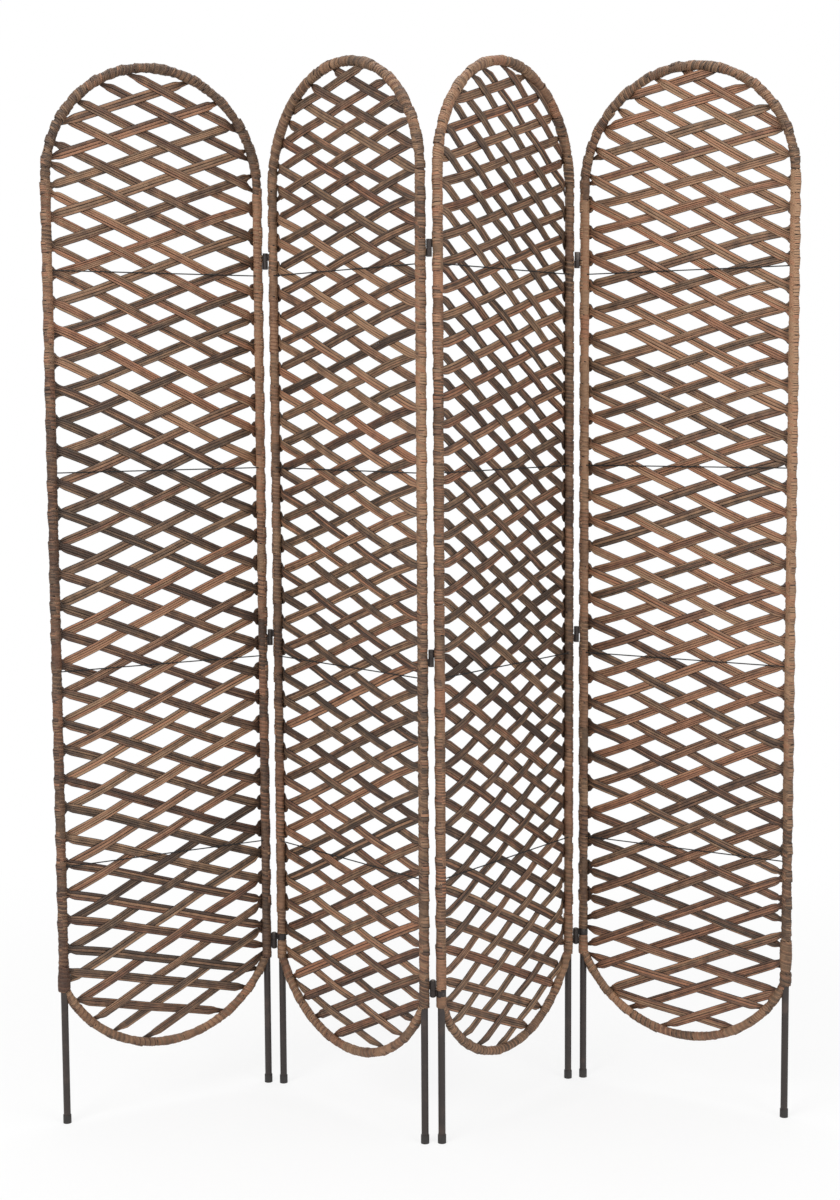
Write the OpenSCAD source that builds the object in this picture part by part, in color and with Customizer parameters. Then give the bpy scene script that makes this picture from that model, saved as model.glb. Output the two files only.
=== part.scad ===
// Four-panel folding screen: hooped steel frames bound with reed, an open diagonal
// lattice of woven reed strips in each, and three barrel hinges at every fold.
// +Z is up, the front of the screen looks along -Y, and the floor is z = 0.

/* [Panel] */
// Height of a panel to the top of its bound arch
panel_h = 1800; // [1500:10:2200]
// Distance between the centre lines of a panel's two legs
leg_spacing = 385; // [300:5:520]
// Height of the bottom bow's centre line at its lowest point
bow_low = 112; // [80:1:160]
// Height where the bottom bow meets the legs
bow_end = 240; // [200:1:300]

/* [Rods] */
// Outside diameter of the tube bent into the hoop
hoop_d = 12; // [10:0.5:16]
// Wall of the hoop's tube
hoop_wall = 1.5; // [1:0.1:2.5]
// Diameter of the bottom bow's rod
bow_d = 11; // [8:0.5:13]
// Diameter of a cross wire
wire_d = 2; // [1.5:0.1:3]
// Height of the lowest cross wire
wire_low = 448; // [400:1:520]
// Distance of the highest cross wire below the start of the arch
wire_drop = 149; // [100:1:300]

/* [Reed] */
// Thickness of the reed binding on the rods
bind_t = 2; // [1:0.1:2.5]
// Distance that the binding of the legs starts below the bow's ends
bind_tail = 8; // [2:1:20]
// Width of a lattice strip
strip_w = 15; // [8:0.5:18]
// Thickness of a lattice strip
strip_t = 2.4; // [1.5:0.1:2.6]
// Share of a strip's width that is left where it is wrapped round a rod
pinch = 0.65; // [0.4:0.05:1]
// Length over which a strip narrows to its wrapped end
pinch_run = 34; // [10:1:60]
// Extra thickness of the legs' binding where the strips are wrapped round them
knot_t = 0.5; // [0.4:0.1:1.5]

/* [Hinges] */
// Clearance between a bottom hinge's knuckles and the wrapped legs beside them
pin_clear = 0.4; // [0.4:0.1:4]
// Outside diameter of the knuckles of the top and middle hinges
knuckle_d = 9; // [8:0.5:10]
// Height of one knuckle of the top and middle hinges
knuckle_h = 13.8; // [10:0.1:18]
// Diameter of the pins of the top and middle hinges
pin_d = 5; // [4:0.5:6]
// Outside diameter of the bottom hinge's knuckles
low_knuckle_d = 10.5; // [9:0.5:11]
// Diameter of the bottom hinge's pin
low_pin_d = 6; // [5:0.5:7]
// Height of the bottom hinge's knuckle that is welded to the left-hand leg
low_leaf_h = 15; // [12:0.5:18]
// Height of the bottom hinge's strap round the right-hand leg
strap_h = 11; // [8:0.5:14]
// Thickness of that strap
strap_t = 2; // [1.5:0.1:2.5]
// Thickness of the leaves between knuckles and legs
leaf_t = 3; // [2:0.5:4]
// Distance of the middle of the top hinge below the start of the arch
high_hinge_drop = 124; // [60:1:300]
// Height of the middle of the middle hinge
hinge_mid = 815; // [700:1:900]
// Height of the middle of the bottom hinge above the bow's ends
low_hinge_rise = 24; // [20:1:80]

/* [Leg caps] */
// Height of a leg cap
cap_h = 14; // [10:1:20]
// Wall of a leg cap
cap_wall = 1; // [0.8:0.1:1.4]
// Thickness of a leg cap's base
cap_base = 2; // [1.5:0.5:4]

/* [Stance] */
// Turn of the first panel from the screen's width
first_turn = 31; // [20:1:45]
// Fold between panels 1 and 2, where 0 is opened flat
fold_12 = 79; // [50:1:120]
// Fold between panels 2 and 3, where 0 is opened flat
fold_23 = 101; // [50:1:120]
// Fold between panels 3 and 4, where 0 is opened flat
fold_34 = 84; // [50:1:120]

/* [Hidden] */
$fn = 48;

// Clearances: welded seats, bindings on rods, lattice ends, turning pins, knuckle ends
weld_gap = 0.05;
bind_gap = 0.15;
end_gap = 0.3;
pin_gap = 0.05;
fixed_pin_gap = 0.02;
knuckle_gap = 0.4;
layer_gap = 0.1;
notch_gap = 0.3;
// How far a cutting shape reaches past the body it cuts
past = 1;

// Frame
hoop_r = hoop_d / 2;
bow_rod_r = bow_d / 2;
bind_r = hoop_r + bind_t;
bow_bind_r = bow_rod_r + bind_t;
knot_r = bind_r + knot_t;
half_w = leg_spacing / 2;
arch_z = panel_h - bind_r - half_w;
bow_sag = bow_end - bow_low;
bow_r = (half_w * half_w + bow_sag * bow_sag) / (2 * bow_sag);
bow_z = bow_low + bow_r;
bow_half = asin(half_w / bow_r);
bind_low = bow_end - bind_tail;
wire_count = 4;
wire_high = arch_z - wire_drop;
wire_step = (wire_high - wire_low) / (wire_count - 1);
// The cross wires lie just in front of both layers of strips
wire_y = -(strip_t + layer_gap / 2 + end_gap + wire_d / 2);

// Lattice: each list holds one entry per panel. A strip is placed by its height at the
// middle of the panel. The first one stands above the bow's lowest point, and the pitch
// and the slope of the rest follow their heights. Every other strip is shifted up and
// the rest down, as they are tied in pairs.
falling_start = [61, 44.5, 42.5, 42.5];
rising_start = [34, 36, 17.5, 26.5];
pitch_z = [200, 900, 1600];
falling_pitch = [[43.5, 51, 44], [45, 43.5, 42.5], [47, 43.5, 46], [48, 44.5, 44]];
rising_pitch = [[48, 49, 48.5], [45, 44, 42], [49.5, 45, 42], [49, 45, 43]];
falling_shift = [-2.5, -2.5, 2.5, -2.5];
rising_shift = [-1, -1, -0.5, -1];
slope_z = [200, 550, 900, 1250, 1600];
falling_slope = [
    [0.24, 0.39, 0.41, 0.51, 0.41],
    [0.26, 0.30, 0.42, 0.44, 0.48],
    [0.42, 0.60, 0.65, 0.68, 0.74],
    [0.13, 0.40, 0.43, 0.48, 0.60]
];
rising_slope = [
    [0.50, 0.47, 0.44, 0.38, 0.36],
    [0.49, 0.50, 0.37, 0.31, 0.28],
    [0.53, 0.51, 0.37, 0.30, 0.31],
    [0.45, 0.48, 0.35, 0.30, 0.19]
];
top_room = 24;
strip_top = panel_h - top_room;

// Hinges: each pin stands off the legs beside it, as far along the panel as across it.
// Those of folds 1-2 and 3-4 are in front of the panels and the middle fold's are
// behind them, so that each pair of panels can close flat.
pin_side = [-1, 1, -1];
pin_reach = knot_r + low_knuckle_d / 2 + pin_clear;
pin_out = pin_reach / sqrt(2);
hinge_high = arch_z - high_hinge_drop;
hinge_low = bow_end + low_hinge_rise;
leaf_trim = 1;
leaf_h = knuckle_h - 2 * leaf_trim;
dome_h = 2.2;
strap_on_top = [true, false, true];
low_barrel_h = low_leaf_h + strap_h + knuckle_gap;
low_start = hinge_low - low_barrel_h / 2;

// Stance
yaw = [
    first_turn,
    first_turn - fold_12,
    first_turn - fold_12 + fold_23,
    first_turn - fold_12 + fold_23 - fold_34
];

function turned(p, angle) = [
    p.x * cos(angle) - p.y * sin(angle),
    p.x * sin(angle) + p.y * cos(angle)
];
function left_leg(i) = i == 0 ? [0, 0]
    : pin_place(i - 1) + turned([pin_out, -pin_side[i - 1] * pin_out], yaw[i]);
function right_leg(i) = left_leg(i) + turned([leg_spacing, 0], yaw[i]);
function pin_place(j) = right_leg(j) + turned([pin_out, pin_side[j] * pin_out], yaw[j]);

leg_places = [for (i = [0 : 3]) each [left_leg(i), right_leg(i)]];
leg_x = [for (p = leg_places) p.x];
leg_y = [for (p = leg_places) p.y];
middle = [(min(leg_x) + max(leg_x)) / 2, (min(leg_y) + max(leg_y)) / 2];

// Puts a shape drawn in a panel's own plane, x along it from its left leg, into place
module on_panel(i) {
    translate([left_leg(i).x - middle.x, left_leg(i).y - middle.y, 0])
        rotate([0, 0, yaw[i]])
            children();
}

// Stands an outline drawn in x and height upright, t thick towards the front
module upright(t) {
    rotate([90, 0, 0])
        linear_extrude(t)
            children();
}

// The hoop's path as a round bar of radius r: two legs from z0 up and a half-circle arch
module hoop_bar(r, z0) {
    for (x = [0, leg_spacing])
        translate([x, 0, z0])
            cylinder(r = r, h = arch_z - z0);
    translate([half_w, 0, arch_z])
        rotate([90, 0, 0])
            rotate_extrude(angle = 180)
                translate([half_w, 0])
                    circle(r);
}

// The bottom bow's path as a round bar of radius r, from leg to leg
module bow_bar(r) {
    translate([half_w, 0, bow_z])
        rotate([90, 0, 0])
            rotate([0, 0, 270 - bow_half])
                rotate_extrude(angle = 2 * bow_half)
                    translate([bow_r, 0])
                        circle(r);
}

module both_legs(r) {
    for (x = [0, leg_spacing])
        translate([x, 0, 0])
            cylinder(r = r, h = arch_z);
}

module hoop(i) {
    color("#3a302b")
        on_panel(i)
            difference() {
                hoop_bar(hoop_r, cap_base);
                hoop_bar(hoop_r - hoop_wall, cap_base - past);
            }
}

module bow(i) {
    color("#3a302b")
        on_panel(i)
            difference() {
                bow_bar(bow_rod_r);
                both_legs(hoop_r + weld_gap);
            }
}

// Where a leaf reaches in from the pin beside a leg at x, on side s, to the leg
module leaf_notch(x, towards, s, z, h, t) {
    translate([x, 0, z])
        rotate([0, 0, atan2(s, towards)])
            translate([0, -t / 2, 0])
                cube([knot_r + past, t, h]);
}

// Heights where the pieces of each hinge start
function lower_knuckle_z(z_mid) = z_mid - knuckle_h - knuckle_gap / 2;
function upper_knuckle_z(z_mid) = z_mid + knuckle_gap / 2;
function strap_z(j) = low_start + (strap_on_top[j] ? low_leaf_h + knuckle_gap : 0);
function low_leaf_z(j) = low_start + (strap_on_top[j] ? 0 : strap_h + knuckle_gap);

module hinge_notches(i) {
    leaf_cut_t = leaf_t + 2 * notch_gap;
    leaf_cut_h = leaf_h + 2 * notch_gap;
    // Right-hand leg: the leaves of the lower knuckles and of the bottom knuckle
    if (i < 3) {
        for (z = [hinge_mid, hinge_high])
            leaf_notch(leg_spacing, 1, pin_side[i], lower_knuckle_z(z) + leaf_trim - notch_gap,
                leaf_cut_h, leaf_cut_t);
        leaf_notch(leg_spacing, 1, pin_side[i], low_leaf_z(i) + leaf_trim - notch_gap,
            low_leaf_h - 2 * leaf_trim + 2 * notch_gap, leaf_cut_t);
    }
    // Left-hand leg: the leaves of the upper knuckles, and the whole turn of the strap
    if (i > 0) {
        for (z = [hinge_mid, hinge_high])
            leaf_notch(0, -1, pin_side[i - 1], upper_knuckle_z(z) + leaf_trim - notch_gap,
                leaf_cut_h, leaf_cut_t);
        translate([0, 0, strap_z(i - 1) - notch_gap])
            cylinder(r = knot_r + past, h = strap_h + 2 * notch_gap);
    }
}

module wire_bars(r, x0, x1) {
    for (k = [0 : wire_count - 1])
        translate([x0, wire_y, wire_low + k * wire_step])
            rotate([0, 90, 0])
                cylinder(r = r, h = x1 - x0);
}

// The open window of a panel, inside the binding
module window() {
    leg_edge = knot_r + end_gap;
    intersection() {
        translate([leg_edge, bow_low])
            square([leg_spacing - 2 * leg_edge, panel_h - bow_low]);
        union() {
            translate([half_w, bow_z])
                circle(bow_r - bow_bind_r - end_gap, $fn = 180);
            translate([0, bow_z])
                square([leg_spacing, arch_z - bow_z]);
            translate([half_w, arch_z])
                circle(half_w - bind_r - end_gap, $fn = 180);
        }
    }
}

function slope_at(slopes, z) = lookup(z, [for (k = [0 : 4]) [slope_z[k], slopes[k]]]);

function heights(z, pitch) = z > strip_top ? []
    : concat([z], heights(z + lookup(z, [for (k = [0 : 2]) [pitch_z[k], pitch[k]]]), pitch));

// A family of strips as pairs of height at the panel's middle and slope to the right
function family(start, pitch, shift, slopes, way) =
    let (places = heights(bow_low + start, pitch))
    [
        for (k = [0 : len(places) - 1])
            [places[k] + (k % 2 == 0 ? shift : -shift), way * slope_at(slopes, places[k])]
    ];
function falling(i) =
    family(falling_start[i], falling_pitch[i], falling_shift[i], falling_slope[i], -1);
function rising(i) =
    family(rising_start[i], rising_pitch[i], rising_shift[i], rising_slope[i], 1);

// Run from the panel's middle to where a strip meets a rod bent round [half_w, centre_z],
// to the left (way -1) or to the right (way 1)
function run_to_bend(strip, way, centre_z, r) =
    let (
        a = 1 + strip[1] * strip[1],
        b = strip[1] * (strip[0] - centre_z),
        c = (strip[0] - centre_z) * (strip[0] - centre_z) - r * r
    )
    (-b + way * sqrt(b * b - a * c)) / a;

// The same to whichever rod it meets: the arch, the bow or a leg
function run_to_rod(strip, way) =
    let (leg_meeting = strip[0] + way * half_w * strip[1])
    leg_meeting > arch_z ? run_to_bend(strip, way, arch_z, half_w)
    : leg_meeting < bow_end ? run_to_bend(strip, way, bow_z, bow_r)
    : way * half_w;

// A strip's outline seen from the front, along its own line: full width, and narrowed
// towards both rods
module pinched_outline(strip) {
    stretch = 1 / cos(atan(strip[1]));
    start = run_to_rod(strip, -1) * stretch;
    end = run_to_rod(strip, 1) * stretch;
    taper = min(pinch_run, 0.4 * (end - start));
    wide = strip_w / 2;
    narrow = pinch * wide;
    polygon([
        [start, -narrow], [start + taper, -wide], [end - taper, -wide], [end, -narrow],
        [end, narrow], [end - taper, wide], [start + taper, wide], [start, narrow]
    ]);
}

// The crossings of one strip with the other family, in order along the strip: for each,
// its distance from the strip's middle, half the length of the lap there, and the
// number of the other strip
function crossings(strip, others) = [
    for (k = [len(others) - 1 : -1 : 0])
        let (
            n = strip[1] < others[k][1] ? k : len(others) - 1 - k,
            run = (others[n][0] - strip[0]) / (strip[1] - others[n][1]),
            meet = abs(atan(strip[1]) - atan(others[n][1]))
        )
        if (abs(run) < half_w + 2 * strip_w)
            [
                run / cos(atan(strip[1])),
                strip_w / 2 * (1 / sin(meet) + 1 / tan(meet)),
                n
            ]
];

// One woven strip: it lies flat over or under each strip it meets and slopes across the
// panel's mid-plane between them
module woven_strip(strip, number, others, over) {
    laps = crossings(strip, others);
    lift = (strip_t + layer_gap) / 2;
    reach = leg_spacing / cos(atan(strip[1]));
    side = [for (lap = laps) (number + lap[2]) % 2 == 0 ? -over : over];
    last = len(laps) - 1;
    line = len(laps) == 0 ? [[-reach, 0], [reach, 0]] : concat(
        [[-reach, lift * side[0]]],
        [
            for (k = [0 : last])
                for (end = [-1, 1])
                    if ((k > 0 || end > 0) && (k < last || end < 0))
                        [laps[k][0] + end * laps[k][1], lift * side[k]]
        ],
        [[reach, lift * side[last]]]
    );
    count = len(line);
    translate([half_w, 0, strip[0]])
        rotate([0, -atan(strip[1]), 0])
            intersection() {
                translate([0, 0, -strip_w / 2])
                    linear_extrude(strip_w)
                        polygon(concat(
                            [for (p = line) [p.x, p.y - strip_t / 2]],
                            [
                                for (k = [1 : count])
                                    [line[count - k].x, line[count - k].y + strip_t / 2]
                            ]
                        ));
                translate([0, 2 * strip_t, 0])
                    upright(4 * strip_t)
                        pinched_outline(strip);
            }
}

module woven_family(strips, others, over) {
    intersection() {
        translate([0, 2 * strip_t, 0])
            upright(4 * strip_t)
                window();
        union() {
            for (n = [0 : len(strips) - 1])
                woven_strip(strips[n], n, others, over);
        }
    }
}

// The ends of all a panel's strips as an outline, from the window to past the legs
module strip_ends(i) {
    difference() {
        union() {
            for (strip = concat(falling(i), rising(i)))
                translate([half_w, strip[0]])
                    rotate(atan(strip[1]))
                        square([2 * leg_spacing, pinch * strip_w], center = true);
        }
        window();
    }
}

// The knots on the legs: collars where the strips' ends are wrapped round them
module leg_knots(i) {
    intersection() {
        for (x = [0, leg_spacing])
            translate([x, 0, bind_low])
                cylinder(r = knot_r, h = arch_z - bind_low);
        translate([0, 2 * knot_r, 0])
            upright(4 * knot_r)
                strip_ends(i);
    }
}

module hoop_binding(i) {
    color("#8a6f57")
        on_panel(i)
            difference() {
                union() {
                    hoop_bar(bind_r, bind_low);
                    leg_knots(i);
                }
                hoop_bar(hoop_r + bind_gap, bind_low - past);
                bow_bar(bow_rod_r + bind_gap);
                hinge_notches(i);
                wire_bars(wire_d / 2 + bind_gap, 0, leg_spacing);
            }
}

module bow_binding(i) {
    color("#8a6f57")
        on_panel(i)
            difference() {
                bow_bar(bow_bind_r);
                bow_bar(bow_rod_r + bind_gap);
                both_legs(knot_r + layer_gap);
            }
}

module falling_strips(i) {
    color("#5c4a3c")
        on_panel(i)
            woven_family(falling(i), rising(i), 1);
}

module rising_strips(i) {
    color("#7d5c46")
        on_panel(i)
            woven_family(rising(i), falling(i), -1);
}

module cross_wires(i) {
    color("#2f2c2a")
        on_panel(i)
            difference() {
                wire_bars(wire_d / 2, 0, leg_spacing);
                both_legs(hoop_r + weld_gap);
            }
}

module leg_caps(i) {
    color("#26211e")
        on_panel(i)
            for (x = [0, leg_spacing])
                translate([x, 0, 0])
                    difference() {
                        cylinder(r = hoop_r + weld_gap + cap_wall, h = cap_h);
                        translate([0, 0, cap_base])
                            cylinder(r = hoop_r + weld_gap, h = cap_h);
                    }
}

// A knuckle with the bore for its pin, and a leaf that reaches towards angle
module knuckle(d, h, bore_d, angle, trim, reach) {
    difference() {
        union() {
            cylinder(d = d, h = h);
            rotate([0, 0, angle])
                translate([0, -leaf_t / 2, trim])
                    cube([reach, leaf_t, h - 2 * trim]);
        }
        translate([0, 0, -past])
            cylinder(d = bore_d, h = h + 2 * past);
    }
}

// Puts a shape drawn round a fold's pin into the left-hand or right-hand panel's frame
module beside_left_panel(j) {
    on_panel(j)
        translate([leg_spacing + pin_out, pin_side[j] * pin_out, 0])
            children();
}

module beside_right_panel(j) {
    on_panel(j + 1)
        translate([-pin_out, pin_side[j] * pin_out, 0])
            children();
}

function to_left_leg(j) = atan2(-pin_side[j], -1);
function to_right_leg(j) = atan2(-pin_side[j], 1);
leaf_reach = pin_reach - hoop_r - weld_gap;

module lower_knuckles(j) {
    color("#35302d")
        beside_left_panel(j)
            for (z = [hinge_mid, hinge_high])
                translate([0, 0, lower_knuckle_z(z)])
                    knuckle(knuckle_d, knuckle_h, pin_d + 2 * fixed_pin_gap,
                        to_left_leg(j), leaf_trim, leaf_reach);
}

module upper_knuckles(j) {
    color("#35302d")
        beside_right_panel(j)
            for (z = [hinge_mid, hinge_high])
                translate([0, 0, upper_knuckle_z(z)])
                    knuckle(knuckle_d, knuckle_h, pin_d + 2 * pin_gap,
                        to_right_leg(j), leaf_trim, leaf_reach);
}

module hinge_pins(j) {
    pin_inset = 0.5;
    color("#5a5450")
        beside_left_panel(j)
            for (z = [hinge_mid, hinge_high])
                translate([0, 0, lower_knuckle_z(z) + pin_inset])
                    cylinder(d = pin_d, h = 2 * knuckle_h + knuckle_gap - 2 * pin_inset);
}

module bottom_knuckle(j) {
    color("#35302d")
        beside_left_panel(j)
            translate([0, 0, low_leaf_z(j)])
                knuckle(low_knuckle_d, low_leaf_h, low_pin_d + 2 * fixed_pin_gap,
                    to_left_leg(j), leaf_trim, leaf_reach);
}

// The strap: its knuckle, a tongue, and a band that wraps the right-hand leg and is open
// on the side of the lattice
module bottom_strap(j) {
    band_in = hoop_r + weld_gap;
    band_out = band_in + strap_t;
    open_half = 28;
    open_x = 2 * band_out * cos(open_half);
    open_y = 2 * band_out * sin(open_half);
    pin_spot = [-pin_out, pin_side[j] * pin_out];
    color("#35302d")
        on_panel(j + 1)
            translate([0, 0, strap_z(j)])
                linear_extrude(strap_h)
                    difference() {
                        union() {
                            circle(band_out);
                            translate(pin_spot) {
                                circle(d = low_knuckle_d);
                                rotate(to_right_leg(j))
                                    translate([0, -leaf_t / 2])
                                        square([pin_reach, leaf_t]);
                            }
                        }
                        circle(band_in);
                        polygon([[0, 0], [open_x, -open_y], [open_x, open_y]]);
                        translate(pin_spot)
                            circle(d = low_pin_d + 2 * pin_gap);
                    }
}

// A low domed rivet head of diameter d
module dome(d, h) {
    ball_r = (d * d / 4 + h * h) / (2 * h);
    intersection() {
        cylinder(d = d, h = h);
        translate([0, 0, h - ball_r])
            sphere(ball_r, $fn = 96);
    }
}

module bottom_pin(j) {
    head_gap = 0.2;
    head_d = low_knuckle_d - 0.5;
    color("#2c2826")
        beside_left_panel(j)
            translate([0, 0, low_start]) {
                translate([0, 0, -head_gap])
                    cylinder(d = low_pin_d, h = low_barrel_h + 2 * head_gap);
                translate([0, 0, low_barrel_h + head_gap])
                    dome(head_d, dome_h);
                translate([0, 0, -head_gap])
                    mirror([0, 0, 1])
                        dome(head_d, dome_h);
            }
}

hoop(0);  // hoop_1
hoop(1);  // hoop_2
hoop(2);  // hoop_3
hoop(3);  // hoop_4
bow(0);  // bow_1
bow(1);  // bow_2
bow(2);  // bow_3
bow(3);  // bow_4
hoop_binding(0);  // hoop_binding_1
hoop_binding(1);  // hoop_binding_2
hoop_binding(2);  // hoop_binding_3
hoop_binding(3);  // hoop_binding_4
bow_binding(0);  // bow_binding_1
bow_binding(1);  // bow_binding_2
bow_binding(2);  // bow_binding_3
bow_binding(3);  // bow_binding_4
falling_strips(0);  // falling_strips_1
falling_strips(1);  // falling_strips_2
falling_strips(2);  // falling_strips_3
falling_strips(3);  // falling_strips_4
rising_strips(0);  // rising_strips_1
rising_strips(1);  // rising_strips_2
rising_strips(2);  // rising_strips_3
rising_strips(3);  // rising_strips_4
cross_wires(0);  // cross_wires_1
cross_wires(1);  // cross_wires_2
cross_wires(2);  // cross_wires_3
cross_wires(3);  // cross_wires_4
leg_caps(0);  // leg_caps_1
leg_caps(1);  // leg_caps_2
leg_caps(2);  // leg_caps_3
leg_caps(3);  // leg_caps_4
lower_knuckles(0);  // lower_knuckles_12
lower_knuckles(1);  // lower_knuckles_23
lower_knuckles(2);  // lower_knuckles_34
upper_knuckles(0);  // upper_knuckles_12
upper_knuckles(1);  // upper_knuckles_23
upper_knuckles(2);  // upper_knuckles_34
hinge_pins(0);  // hinge_pins_12
hinge_pins(1);  // hinge_pins_23
hinge_pins(2);  // hinge_pins_34
bottom_knuckle(0);  // bottom_knuckle_12
bottom_knuckle(1);  // bottom_knuckle_23
bottom_knuckle(2);  // bottom_knuckle_34
bottom_strap(0);  // bottom_strap_12
bottom_strap(1);  // bottom_strap_23
bottom_strap(2);  // bottom_strap_34
bottom_pin(0);  // bottom_pin_12
bottom_pin(1);  // bottom_pin_23
bottom_pin(2);  // bottom_pin_34
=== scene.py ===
import math

import bpy
import numpy as np
from mathutils import Matrix, Vector


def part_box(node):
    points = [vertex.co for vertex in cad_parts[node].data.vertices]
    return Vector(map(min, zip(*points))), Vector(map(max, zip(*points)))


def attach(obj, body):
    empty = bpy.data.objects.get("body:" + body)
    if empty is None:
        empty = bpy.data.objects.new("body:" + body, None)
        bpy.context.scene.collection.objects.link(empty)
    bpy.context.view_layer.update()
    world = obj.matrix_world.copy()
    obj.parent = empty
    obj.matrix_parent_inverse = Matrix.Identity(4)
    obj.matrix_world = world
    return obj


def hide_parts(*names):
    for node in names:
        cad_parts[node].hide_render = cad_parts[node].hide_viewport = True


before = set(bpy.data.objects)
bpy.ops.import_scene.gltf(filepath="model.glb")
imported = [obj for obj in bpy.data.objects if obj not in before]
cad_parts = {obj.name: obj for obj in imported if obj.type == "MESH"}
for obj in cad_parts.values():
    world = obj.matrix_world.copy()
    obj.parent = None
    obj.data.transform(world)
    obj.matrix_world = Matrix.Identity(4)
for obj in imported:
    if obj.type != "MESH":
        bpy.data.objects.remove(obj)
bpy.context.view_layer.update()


# ---- Steel frames ----------------------------------------------------------------
# Each panel starts as a hoop: a 12 mm steel tube bent into two legs and a half-circle
# arch. An 11 mm rod is bent to a bow and welded between the legs, and the bare steel is
# painted brown-black by hand. The pieces are the CAD ones, with a worn paint.

mm = 0.001


class Look:
    """A shader value. Sums, differences and products of looks add Math nodes"""

    def __init__(self, paint, socket):
        self.paint = paint
        self.socket = socket

    def __add__(self, other):
        return self.paint.math("ADD", self, other)

    def __sub__(self, other):
        return self.paint.math("SUBTRACT", self, other)

    def __rsub__(self, other):
        return self.paint.math("SUBTRACT", other, self)

    def __mul__(self, other):
        return self.paint.math("MULTIPLY", self, other)

    __radd__ = __add__
    __rmul__ = __mul__


class Paint:
    """The nodes of one procedural material, or of the light all round"""

    def __init__(self, owner, shader="Principled BSDF"):
        owner.use_nodes = True
        self.owner = owner
        self.tree = owner.node_tree
        self.shader = self.tree.nodes[shader]

    def node(self, kind, output, settings=None, **sockets):
        """Any node: its type, its settings, and values or looks for its inputs. An input
        is given by its name, or by i and its number"""
        made = self.tree.nodes.new(kind)
        for key, value in (settings or {}).items():
            setattr(made, key, value)
        for key, value in sockets.items():
            numbered = key[0] == "i" and key[1:].isdigit()
            slot = int(key[1:]) if numbered else key.replace("_", " ")
            self.feed(made.inputs[slot], value)
        return Look(self, made.outputs[output])

    def feed(self, slot, value):
        if isinstance(value, Look):
            self.tree.links.new(value.socket, slot)
        else:
            slot.default_value = value

    def math(self, operation, first, second):
        return self.node("ShaderNodeMath", 0, {"operation": operation},
                         i0=first, i1=second)

    def mix(self, share, first, second):
        """A colour between two others"""
        return self.node("ShaderNodeMix", 2, {"data_type": "RGBA"},
                         i0=share, i6=first, i7=second)

    def stretch(self, look, low, high, to_low=0.0, to_high=1.0):
        """Maps low..high of a value onto to_low..to_high, and holds it there"""
        return self.node("ShaderNodeMapRange", 0, {"interpolation_type": "SMOOTHSTEP"},
                         Value=look, From_Min=low, From_Max=high,
                         To_Min=to_low, To_Max=to_high)

    def place(self):
        """The place on the piece, which goes with it when its panel folds"""
        return self.node("ShaderNodeTexCoord", "Object")

    def noise(self, where, scale, detail=3.0, roughness=0.55):
        return self.node("ShaderNodeTexNoise", "Fac", Vector=where, Scale=scale,
                         Detail=detail, Roughness=roughness)

    def bump(self, height, distance, strength=1.0):
        return self.node("ShaderNodeBump", 0, Height=height, Distance=distance,
                         Strength=strength)

    def finish(self, **sockets):
        """Sets the shader's own sockets, such as Base_Color"""
        for key, value in sockets.items():
            self.feed(self.shader.inputs[key.replace("_", " ")], value)
        return self.owner


def srgb(red, green, blue):
    """A colour from 0-255 values as a painter's chart gives them"""
    def linear(c):
        c /= 255
        return c / 12.92 if c <= 0.04045 else ((c + 0.055) / 1.055) ** 2.4
    return (linear(red), linear(green), linear(blue), 1.0)


def worn_paint(name, body, rubbed, rubbed_share, roughness, metallic=0.0):
    """A dark skin on steel, or dark plastic: uneven in tone, and rubbed lighter in small
    patches"""
    paint = Paint(bpy.data.materials.new(name))
    where = paint.place()
    cloud = paint.noise(where, scale=35)
    speck = paint.noise(where, scale=420, detail=4.0)
    patch = paint.stretch(cloud * 0.6 + speck * 0.4, 0.5, 0.68, to_high=rubbed_share)
    return paint.finish(
        Base_Color=paint.mix(patch, body, rubbed),
        Metallic=metallic,
        Roughness=paint.stretch(speck, 0.3, 0.7, roughness - 0.08, roughness + 0.12),
        Normal=paint.bump(speck, distance=0.15 * mm, strength=0.5))


def coat(nodes, material):
    """Gives CAD pieces their finish"""
    for name in nodes:
        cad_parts[name].material_slots[0].material = material


coat([f"{rod}_{number}" for rod in ("hoop", "bow") for number in range(1, 5)],
     worn_paint("frame_paint", srgb(40, 32, 29), srgb(80, 64, 56),
                rubbed_share=0.5, roughness=0.5))


# ---- Hinges ----------------------------------------------------------------------
# Three barrel hinges join the legs at every fold: turned steel knuckles on welded
# leaves, top and middle, and a bottom one whose strap is wrapped round the leg. They
# are oiled dark steel, and the pins are worn brighter.

FOLDS = ("12", "23", "34")
coat([f"{piece}_{fold}" for fold in FOLDS for piece in
      ("lower_knuckles", "upper_knuckles", "bottom_knuckle", "bottom_strap")],
     worn_paint("hinge_steel", srgb(50, 44, 42), srgb(120, 112, 106),
                rubbed_share=0.5, roughness=0.38, metallic=0.6))
coat([f"{piece}_{fold}" for fold in FOLDS for piece in ("hinge_pins", "bottom_pin")],
     worn_paint("pin_steel", srgb(74, 68, 64), srgb(140, 134, 128),
                rubbed_share=0.6, roughness=0.3, metallic=0.6))


# ---- Cross wires -----------------------------------------------------------------
# Four blackened wires are drawn tight from leg to leg in front of each lattice and
# welded to the tube, so that the legs can't spread.

coat([f"cross_wires_{number}" for number in range(1, 5)],
     worn_paint("wire_black", srgb(8, 7, 6), srgb(40, 35, 31),
                rubbed_share=0.2, roughness=0.75))


# ---- Leg caps --------------------------------------------------------------------
# Pushed-on caps of black plastic close the tube ends. They are moulded, slightly satin
# and scuffed by the floor.

coat([f"leg_caps_{number}" for number in range(1, 5)],
     worn_paint("cap_plastic", srgb(36, 32, 30), srgb(72, 66, 62),
                rubbed_share=0.5, roughness=0.55))


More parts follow.
